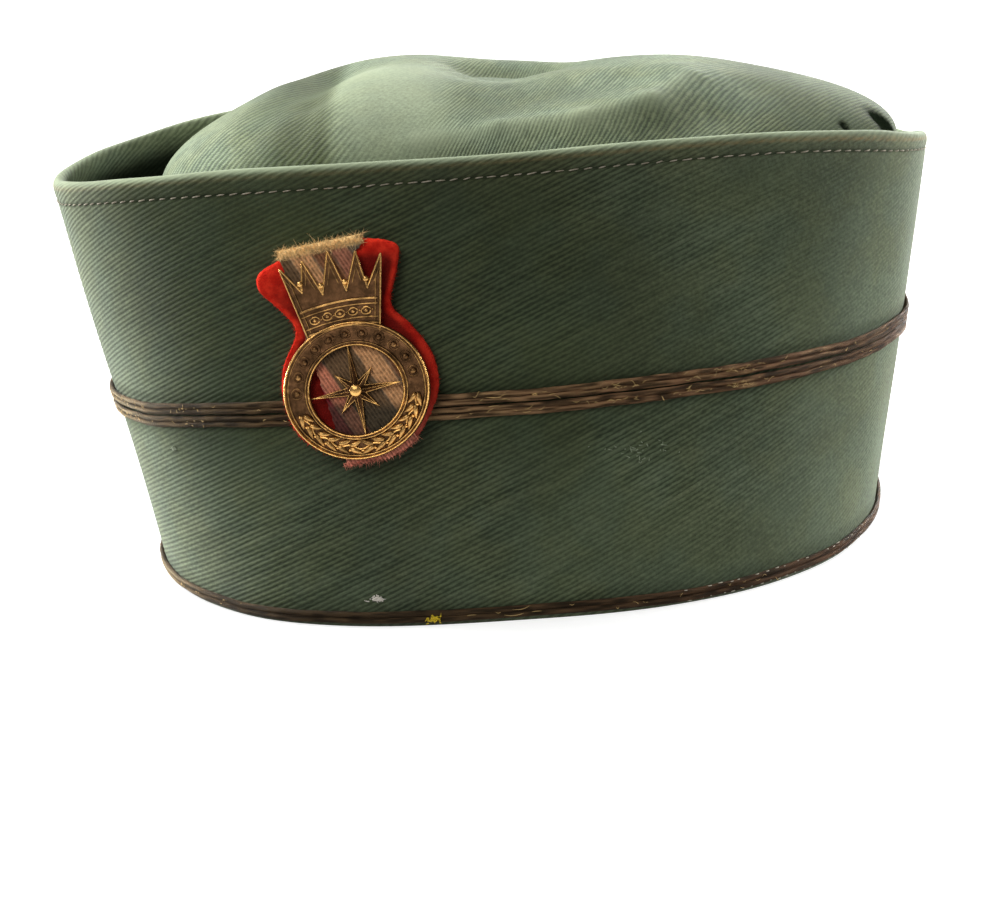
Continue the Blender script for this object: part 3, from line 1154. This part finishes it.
ribbon_off = ribbon_off + RIBBON_RIB.height * np.cos(2 * np.pi * rib_turns) + sag - band_curve(ribbon_across)
face = np.stack([ribbon_across, ribbon_along, ribbon_off], -1)
face_out = unit(np.cross(np.gradient(face, axis=1), np.gradient(face, axis=0)))
sheet = np.concatenate([face, (face - face_out * RIBBON.thickness * 0.8)[::-1]])
ribbon_points = on_badge(*np.moveaxis(sheet.reshape(-1, 3), -1, 0))
ribbon_faces = grid_faces(len(sheet), RIBBON_COLUMNS, True, False)[0]


def side_faces(rows, columns):
    """The faces that close the left side of a sheet, whose rows run up its front and down its back, and
    those that close its right side."""
    row = np.arange(rows // 2 - 1)
    left = np.stack([row, row + 1, rows - 2 - row, rows - 1 - row], -1) * columns
    return left, left[:, ::-1] + columns - 1


def fluff(starts, ways, lengths, curl, seed):
    """Curly fibres: from each start along its way, bent by a random curl that grows along the fibre."""
    random = np.random.default_rng(seed)
    share = np.linspace(0, 1, 6)
    bend = random.normal(0, curl, (len(starts), 1, 3)) * (share**2)[None, :, None]
    line = starts[:, None] + (ways[:, None] * share[None, :, None] + bend) * lengths[:, None, None]
    return tubes(on_badge(*np.moveaxis(line, -1, 0)), FLUFF_RADIUS * (1.1 - share), 3)


random = np.random.default_rng(34)
count = TOP_FLUFF.count
top_across = random.uniform(TOP_FLUFF.left, TOP_FLUFF.right, count)
top_along = RIBBON.top - 1.3 + random.uniform(-1.1, 1.3, count)
top_start = np.stack([top_across, top_along, random.uniform(2.0, 4.7, count) - band_curve(top_across)], -1)
top_way = [random.normal(0, 0.9, count), random.normal(0.25, 0.6, count), random.normal(0.5, 0.5, count)]
top_way = unit(np.stack(top_way, -1))
top_points, top_faces = fluff(top_start, top_way, random.uniform(0.5, 1.5, count), 0.5, TOP_FLUFF.seed)
count = END_FLUFF.count
end_across = random.uniform(END_FLUFF.left, END_FLUFF.right, count)
end_along = RIBBON_BOTTOM.along + ribbon_cut(end_across) + random.uniform(0, 0.8, count)
end_off = ribbon_face - 0.3 - band_curve(end_across) + random.uniform(-0.3, 0.3, count)
end_way = [random.normal(0.1, 0.5, count), random.normal(-1, 0.3, count), random.normal(0.1, 0.4, count)]
end_way = unit(np.stack(end_way, -1))
end_start = np.stack([end_across, end_along, end_off], -1)
end_points, end_faces = fluff(end_start, end_way, random.uniform(0.4, 1.3, count), 0.35, END_FLUFF.seed)
first_top, first_end = len(ribbon_points), len(ribbon_points) + len(top_points)
ribbon_all = np.concatenate([ribbon_points, top_points, end_points])
ribbon_all_faces = np.concatenate([
    ribbon_faces, *side_faces(len(sheet), RIBBON_COLUMNS), top_faces + first_top, end_faces + first_end,
])
on_fold = np.concatenate([walk_along, walk_along[::-1]]).repeat(RIBBON_COLUMNS, 1).ravel() > 0.999
on_fold = np.concatenate([on_fold, np.ones(len(top_points)), np.zeros(len(end_points))])
ribbon_u, ribbon_v = badge_measures(ribbon_all)
near_fold = ease(ribbon_v, 32.2, 33.9)
lowest = ease(-ribbon_v, 11, 13)
ribbon_looks = {
    "stripe": over_ribs(ribbon_u, ribbon_v),
    "frayed": np.clip(0.95 * (on_fold + near_fold), 0, 1),
    "pink": 0.9 * lowest,
    "shaded": 0.75 * ease(-ribbon_v - 0.25 * ribbon_u, 1.5, 5) * (1 - lowest),
}
weave = Finish("faded_ribbon", Roughness=0.8, Specular_IOR_Level=0.1, Sheen_Tint=(1.0, 0.75, 0.45))
stripe_at, frayed = weave.value("stripe"), weave.value("frayed")
weave_grain, weave_cloud = weave.noise(1300.0, 3.0, 0.6), weave.noise(230.0, 3.0, 0.6)
weave_colour = RIBBON_GROUND
for stripe in RIBBON_STRIPES:
    reach = abs(stripe_at - stripe.middle) + weave_cloud * 1.6
    share = weave.ramp(reach, stripe.half_width + 0.3, stripe.half_width + 1.3, 1.0, 0.0)
    weave_colour = weave.mix(share, weave_colour, stripe.colour)
weave_colour = weave.mix(weave.value("shaded"), weave_colour, RIBBON_SHADE)
weave_colour = weave.mix(weave.value("pink"), weave_colour, RIBBON_PINK)
weave_colour = weave.mix(frayed, weave_colour, RIBBON_CREAM)
rib_light = weave.cosine(stripe_at * (1 / RIBBON_RIB.pitch)) * (1.0 - frayed)
weave_light = rib_light * 0.22 + weave.ramp(weave_grain, 0.3, 0.7, 0.6, 1.15)
weave.set(
    Sheen_Weight=frayed * 0.42 + 0.02,
    Base_Color=weave.mix(1.0, weave_colour, weave_light, "MULTIPLY"),
    Normal=weave.bump(weave_grain, 0.0002),
)
ribbon = make_piece("ribbon_ribbed", ribbon_all, ribbon_all_faces, [weave.material], ribbon_looks)
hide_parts("ribbon")

# Badge
# The badge is struck in brass: a coronet over a ring, with a star of eight rays in the opening. It has gone
# brown in its hollows and is rubbed bright on every raised line. One post behind it goes into the band.

BADGE = Sizes(back=4.5, face=5.3)
RING = Sizes(outer=(17.4, 16.0), inner=(11.1, 10.3), round=480, rows=61)
RING_LINES = table(
    "share height width", (0.05, 0.62, 0.05), (0.17, 0.34, 0.035), (0.83, 0.34, 0.035), (0.95, 0.68, 0.05)
)
PEARLS = Sizes(count=22, across=14.25, along=13.15, radius=0.95, collar=1.25)
LEAF = Sizes(count=13, length=3.1, width=1.25, spread=np.radians(70), vine_spread=np.radians(74))
BERRY = Sizes(radii=(0.42, 0.42, 0.45), outward=0.7, ahead=0.09)
CORONET_TIPS = [(-12.1, 31), (-6.4, 31.8), (0, 32.9), (6.5, 31.5), (12.3, 29.8)]
CORONET_DIPS = [(-7.9, 24.6), (-3.1, 23.3), (2.6, 23.1), (7.6, 22.8)]
CORONET = Sizes(half_width=8.5, spread=0.16, foot=14.3, sag=0.9, inset=1.25, columns=161, rows=61)
CORONET_RAILS = table("along radius", (15.2, 0.3), (16.6, 0.18), (19.6, 0.18), (20.8, 0.3))
CORONET_JEWELS = Sizes(places=(-2, -1, 0, 1, 2), pitch=3.1, along=18.1, across=1.15, high=0.85)
DIP_BALL = Sizes(radius=0.78, along=1.9, stem=0.32)
STAR = Sizes(long=11.6, short=6.6, waist=2.5, rays=8, height=1.5, round=320, rows=40)
STAR_RIM = Sizes(share=0.93, height=0.16, width=0.05)
POST = Sizes(along=18.2, radius=1.1, tip=-4)
BRASS_BRIGHT = (0.74, 0.42, 0.13)
BRASS_BROWN = (0.165, 0.08, 0.036)
BRASS_DARK = (0.055, 0.028, 0.012)

badge_parts = []


def add_part(points, faces, worn):
    """Keeps one part of the badge with how rubbed its points are, as a share from 0 to 1."""
    points = points.reshape(-1, 3)
    count = sum(len(part[0]) for part in badge_parts)
    badge_parts.append((points, faces + count, np.broadcast_to(np.ravel(worn), len(points))))


def add_line(path, radius, worn=1.0, off=0.0):
    """A raised line: a closed tube along a path of (across, along) places, half sunk in the plate."""
    path = np.array(path, float)
    length = lengths_along(path)
    steps = np.linspace(0, length[-1], max(8, int(length[-1] / 0.45)))
    end = np.sqrt(np.clip(np.minimum(steps, length[-1] - steps) / radius, 0.02, 1))
    line = on_badge(*(np.interp(steps, length, path[:, k]) for k in (0, 1)), BADGE.face + off)
    add_part(*tubes(line[None], radius * end[None], 8), worn)


def add_balls(across, along, off, radii, worn=1.0, rings=9, sides=14):
    """Balls at places, each stretched across, along and out by its three radii."""
    tilt = np.linspace(0.04, np.pi - 0.04, rings)[:, None]
    turn = 2 * np.pi * np.arange(sides) / sides
    across, along = (np.atleast_1d(value).astype(float)[:, None, None] for value in (across, along))
    points = on_badge(
        across + radii[0] * np.sin(tilt) * np.cos(turn),
        along + radii[1] * np.sin(tilt) * np.sin(turn),
        BADGE.face + off + radii[2] * np.cos(tilt),
    )
    first = rings * sides * np.arange(len(across))[:, None, None]
    faces = grid_faces(rings, sides, False, True)[0] + first
    add_part(points, faces.reshape(-1, 4)[:, ::-1], worn)


def oval_place(turn, half_across, half_along):
    """A place on an oval: half_across * sine and half_along * cosine, from the top round to the right."""
    return half_across * np.sin(turn), half_along * np.cos(turn)


def small_oval(across, along, half_across, half_along):
    """A closed path round a place, from its right side upwards."""
    turn = np.linspace(0, 2 * np.pi, 25)
    return np.stack([across + half_across * np.cos(turn), along + half_along * np.sin(turn)], -1)


ring_turn = 2 * np.pi * np.arange(RING.round) / RING.round
ring_share = np.concatenate([np.linspace(0, 1, RING.rows), [1.0, 0.9, 0.5, 0.1, 0.0]])[:, None]
ring_front = (np.arange(len(ring_share)) < RING.rows)[:, None]
ring_halves = [inner + (outer - inner) * ring_share for inner, outer in zip(RING.inner, RING.outer)]
ring_across, ring_along = oval_place(ring_turn, *ring_halves)
ring_lines = sum(line.height * bell(ring_share - line.share, line.width) for line in RING_LINES)
ring_dish = -0.25 * bell(ring_share - 0.5, 0.3)
ring_scars = 0.05 * ripple(ring_across, ring_along, 41, 1.0, 18, 0.9)
ring_high = (BADGE.face - BADGE.back + ring_lines + ring_dish + ring_scars) * ring_front
ring_worn = np.broadcast_to(np.clip(ring_lines * 2.2, 0, 1) * ring_front, ring_across.shape)
ring_faces = grid_faces(*ring_across.shape, True, True)[0]
add_part(on_badge(ring_across, ring_along, BADGE.back + ring_high), ring_faces, ring_worn)

pearl_turn = 2 * np.pi * np.arange(PEARLS.count) / PEARLS.count
pearl_turn = (pearl_turn + np.pi) % (2 * np.pi) - np.pi
pearl_turn = pearl_turn[np.abs(pearl_turn) < np.radians(90)]
pearl_across, pearl_along = oval_place(pearl_turn, PEARLS.across, PEARLS.along)
add_balls(pearl_across, pearl_along, -0.1, PEARLS.radius * np.array([0.8, 0.8, 0.62]), 0.55)
for across, along in zip(pearl_across, pearl_along):
    add_line(small_oval(across, along, PEARLS.collar, PEARLS.collar), 0.16, 0.5, -0.12)

leaf_step = np.linspace(-LEAF.spread, LEAF.spread, LEAF.count) + np.pi
leaf_share = np.linspace(-1, 1, 9)
leaf_way = np.where(leaf_step > np.pi, -1, 1)[:, None]
leaf_turn = leaf_step[:, None] + leaf_way * leaf_share * LEAF.length / 2 / PEARLS.across
leaf_radii = LEAF.width * 0.5 * np.sqrt(1.04 - leaf_share**2) * (1 - 0.35 * leaf_share)
for side in (-1, 1):
    swing = side * (0.35 + 1.25 * ((leaf_share + 1) / 2) ** 1.5)
    leaves = oval_place(leaf_turn, PEARLS.across + swing, PEARLS.along + swing)
    add_part(*tubes(on_badge(*leaves, BADGE.face + 0.02), leaf_radii, 8), 0.6)
vine_turn = np.linspace(-LEAF.vine_spread, LEAF.vine_spread, 120)
vine_wave = 0.45 * np.sin(vine_turn * LEAF.count * 1.2)
vine = oval_place(vine_turn + np.pi, PEARLS.across + vine_wave, PEARLS.along + vine_wave)
add_line(np.stack(vine, -1), 0.24, 0.9, 0.1)
berries = oval_place(leaf_step + BERRY.ahead, PEARLS.across + BERRY.outward, PEARLS.along + BERRY.outward)
add_balls(*berries, 0.15, BERRY.radii, 1.0, 6, 9)


def coronet_foot(share, along):
    """A line across the coronet at a height along it, wider further up and sagging at its ends."""
    half = CORONET.half_width + (along - CORONET.foot) * CORONET.spread
    return share * half, along - CORONET.sag * share**2


zigzag = [CORONET_TIPS[0]]
for dip, tip in zip(CORONET_DIPS, CORONET_TIPS[1:]):
    zigzag += [dip, tip]
zigzag = np.array(zigzag, float)
columns, rows = CORONET.columns, CORONET.rows
column_at = np.linspace(0, len(zigzag) - 1, columns)
coronet_top = [np.interp(column_at, np.arange(len(zigzag)), zigzag[:, k]) for k in (0, 1)]
coronet_low = coronet_foot(np.linspace(-1, 1, columns), CORONET.foot - 0.9)
rise = np.linspace(0, 1, rows)[:, None]
plate_across, plate_along = (low + (top - low) * rise for low, top in zip(coronet_low, coronet_top))
plate_bend = 0.35 * ease(plate_along, 20, 33) + 0.25 * (1 - (plate_across / 13) ** 2)
plate_scars = 0.045 * ripple(plate_across, plate_along, 42, 1.0, 18, 1.1)
plate_front = on_badge(plate_across, plate_along, BADGE.face - 0.25 + 0.3 * plate_bend + plate_scars)
plate_rear = on_badge(plate_across, plate_along, BADGE.back)
plate_faces = grid_faces(2 * rows, columns, True, False)[0]
plate_left, plate_right = side_faces(2 * rows, columns)
plate_faces = np.concatenate([plate_faces, plate_left, plate_right])
add_part(np.concatenate([plate_front, plate_rear[::-1]]), plate_faces, 0.12)

sides = [coronet_foot(-1, CORONET.foot - 0.9), *zigzag.tolist(), coronet_foot(1, CORONET.foot - 0.9)]
sides = np.array(sides, float)
for k, (start, stop) in enumerate(zip(sides, sides[1:])):
    add_line(np.linspace(start, stop, 12), 0.22, 1.0, -0.02)
    inward = unit(np.array([stop[1] - start[1], start[0] - stop[0]]))
    zigzag_side = 0 < k < len(sides) - 2
    pull = inward * CORONET.inset * (0.75 if zigzag_side else 0.9)
    head = (stop - start) * (0.2 if zigzag_side else 0.12)
    add_line(np.linspace(start + head + pull, stop - head + pull, 12), 0.16, 0.7, -0.05)
for rail in CORONET_RAILS:
    add_line(np.stack(coronet_foot(np.linspace(-1, 1, 40), rail.along), -1), rail.radius, 0.8, 0.05)
for place in CORONET_JEWELS.places:
    across = place * CORONET_JEWELS.pitch
    along = CORONET_JEWELS.along - CORONET.sag * (across / CORONET.half_width) ** 2
    add_line(small_oval(across, along, CORONET_JEWELS.across, CORONET_JEWELS.high), 0.2, 0.9, 0.0)
    add_balls(across, along, 0.02, (0.5, 0.45, 0.4), 0.8)
    add_balls(across + CORONET_JEWELS.pitch / 2, along, 0.0, (0.24, 0.24, 0.3), 0.8)
for across, along in CORONET_DIPS:
    add_balls(across, along + DIP_BALL.along, -0.05, (DIP_BALL.radius,) * 3, 1.0)
    add_line([(across, along - 0.4), (across, along + DIP_BALL.along)], DIP_BALL.stem, 0.9, -0.1)

corner = np.arange(2 * STAR.rays + 1)
corner_reach = np.where(corner % 4 == 0, STAR.long, np.where(corner % 2 == 0, STAR.short, STAR.waist))
corners = oval_place(np.pi * corner / STAR.rays, corner_reach, corner_reach)
star_at = np.arange(STAR.round) / STAR.round * 2 * STAR.rays
star_share = np.concatenate([np.linspace(0.02, 1, STAR.rows), [1.0, 0.5, 0.02]])[:, None]
star_front = (np.arange(len(star_share)) < STAR.rows)[:, None]
star_across, star_along = (np.interp(star_at, corner, values) * star_share for values in corners)
star_rim = STAR_RIM.height * bell(star_share - STAR_RIM.share, STAR_RIM.width)
star_scars = 0.02 * ripple(star_across, star_along, 43, 1.0, 12, 0.9)
star_high = (0.45 + STAR.height * (1 - star_share) + star_rim + star_scars) * star_front
ray_ridge = bell((star_at % 2 + 1) % 2 - 1, 0.14)
star_worn = 0.25 + 0.75 * ray_ridge + 0.7 * bell(star_share - STAR_RIM.share, 0.07)
star_worn = np.clip(star_worn, 0, 1) * star_front
star_faces = grid_faces(*star_across.shape, True, True)[0]
add_part(on_badge(star_across, star_along, BADGE.back + star_high), star_faces, star_worn)
add_balls(0, 0, 0.8, (1.5, 1.5, 0.8), 0.9)

post_line = on_badge(0, POST.along, np.linspace(POST.tip, BADGE.back + 0.4, 10))
add_part(*tubes(post_line[None], np.array([[0.3, *[POST.radius] * 8, 0.9]]), 14), 0.2)

brass = Finish("badge_brass", Metallic=1.0)
brass_cloud = brass.noise(420.0, 4.0, 0.65)
rubbed = brass.ramp(brass.value("worn") + brass_cloud * 0.8 - 0.4, 0.3, 0.95)
brass_under = brass.mix(brass.ramp(brass_cloud, 0.3, 0.8), BRASS_DARK, BRASS_BROWN)
brass.set(
    Base_Color=brass.mix(rubbed, brass_under, BRASS_BRIGHT),
    Roughness=brass.ramp(rubbed, 0.0, 1.0, 0.42, 0.24),
    Normal=brass.bump(brass_cloud + brass.noise(2600.0, 2.0, 0.6) * 0.4, 0.00012),
)
badge_points, badge_faces, badge_worn = (np.concatenate(values) for values in zip(*badge_parts))
badge_worn = badge_worn * (0.68 + 0.32 * ease(-badge_measures(badge_points)[1], -12, 10))
badge = make_piece("badge_struck_brass", badge_points, badge_faces, [brass.material], {"worn": badge_worn})
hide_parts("badge")

# Stage
# A pale floor, a broad soft light from above and behind, lights to the left, right and rear, a weak one in
# front and a tiny one low down. The floor throws no light back, so the side to the camera stays in shade.

CAMERA = Sizes(place=(26.2, -657.7, 203.4), azimuth=2.56, elevation=15.78, roll=-4.72, lens=93.77)
SKY_LIGHT = Sizes(towards=(-0.54, 0.5, 0.68), colour=(0.99, 1.0, 1.0), energy=8.9, angle=np.radians(40))
AREA_LIGHTS = table(
    "name place target size power",
    ("left_light", (-640, 230, 70), (0, 0, 50), 0.14, 4.9),
    ("front_light", (-350, -600, 650), (0, -70, 60), 0.5, 3.1),
    ("right_light", (760, 240, 240), (0, 0, 60), 0.45, 9.3),
    ("rear_light", (450, 650, 40), (80, 0, 50), 0.3, 12.0),
    ("low_light", (30, -160, 4), (20, -84, 24), 0.07, 0.013),
)
WORLD_STRENGTH = 0.225
FLOOR = Sizes(half=4, height=-5e-5)


def set_axes(thing, right, up, back, place):
    """Turns an object to these axes and puts it at a place in millimetres."""
    rows = np.stack([right, up, back, np.array(place) * MM], -1).tolist()
    thing.matrix_world = Matrix([*rows, [0, 0, 0, 1]])


def shine_from(lamp, towards, side, place):
    """Turns a lamp to shine from a direction. Its own X is square to that and to `side`."""
    back = unit(np.array(towards, float))
    right = unit(np.cross(side, back))
    set_axes(lamp, right, np.cross(back, right), back, place)


sun = bpy.data.lights.new("sky_light", "SUN")
sun.energy, sun.color, sun.angle = SKY_LIGHT.energy, SKY_LIGHT.colour, SKY_LIGHT.angle
shine_from(put("sky_light", sun), SKY_LIGHT.towards, [0, 1.0, 0], (0, 0, 1000))
for row in AREA_LIGHTS:
    light = bpy.data.lights.new(row.name, "AREA")
    light.size, light.energy = row.size, row.power
    lamp = put(row.name, light)
    shine_from(lamp, np.subtract(row.place, row.target), [0, 0, 1.0], row.place)
    lamp.visible_camera = row.name != "low_light"

world = bpy.data.worlds.new("studio")
world.use_nodes = True
world.node_tree.nodes["Background"].inputs["Color"].default_value = (1, 1, 1, 1)
world.node_tree.nodes["Background"].inputs["Strength"].default_value = WORLD_STRENGTH
bpy.context.scene.world = world

floor_mesh = bpy.data.meshes.new("floor")
half, z = FLOOR.half, FLOOR.height
floor_corners = [(-half, -half, z), (half, -half, z), (half, half, z), (-half, half, z)]
floor_mesh.from_pydata(floor_corners, [], [(0, 1, 2, 3)])
floor_finish = Finish("pale_floor", Roughness=0.9, Base_Color=(0.4, 0.4, 0.4))
floor_finish.set(Emission_Color=(1.0, 1.0, 0.99), Emission_Strength=0.72)
floor_mesh.materials.append(floor_finish.material)
floor = put("floor", floor_mesh)
floor.visible_diffuse = False

azimuth, elevation, roll = np.radians([CAMERA.azimuth, CAMERA.elevation, CAMERA.roll])
forward = np.array([-np.sin(azimuth), np.cos(azimuth), 0]) * np.cos(elevation) - [0, 0, np.sin(elevation)]
level_right = unit(np.cross(forward, [0, 0, 1.0]))
level_up = np.cross(level_right, forward)
camera_right = level_right * np.cos(roll) + level_up * np.sin(roll)
camera_up = level_up * np.cos(roll) - level_right * np.sin(roll)
camera = bpy.data.cameras.new("camera")
camera.lens = CAMERA.lens
camera_object = put("camera", camera)
set_axes(camera_object, camera_right, camera_up, -forward, CAMERA.place)
bpy.context.scene.camera = camera_object
bpy.context.scene.view_settings.view_transform = "Standard"
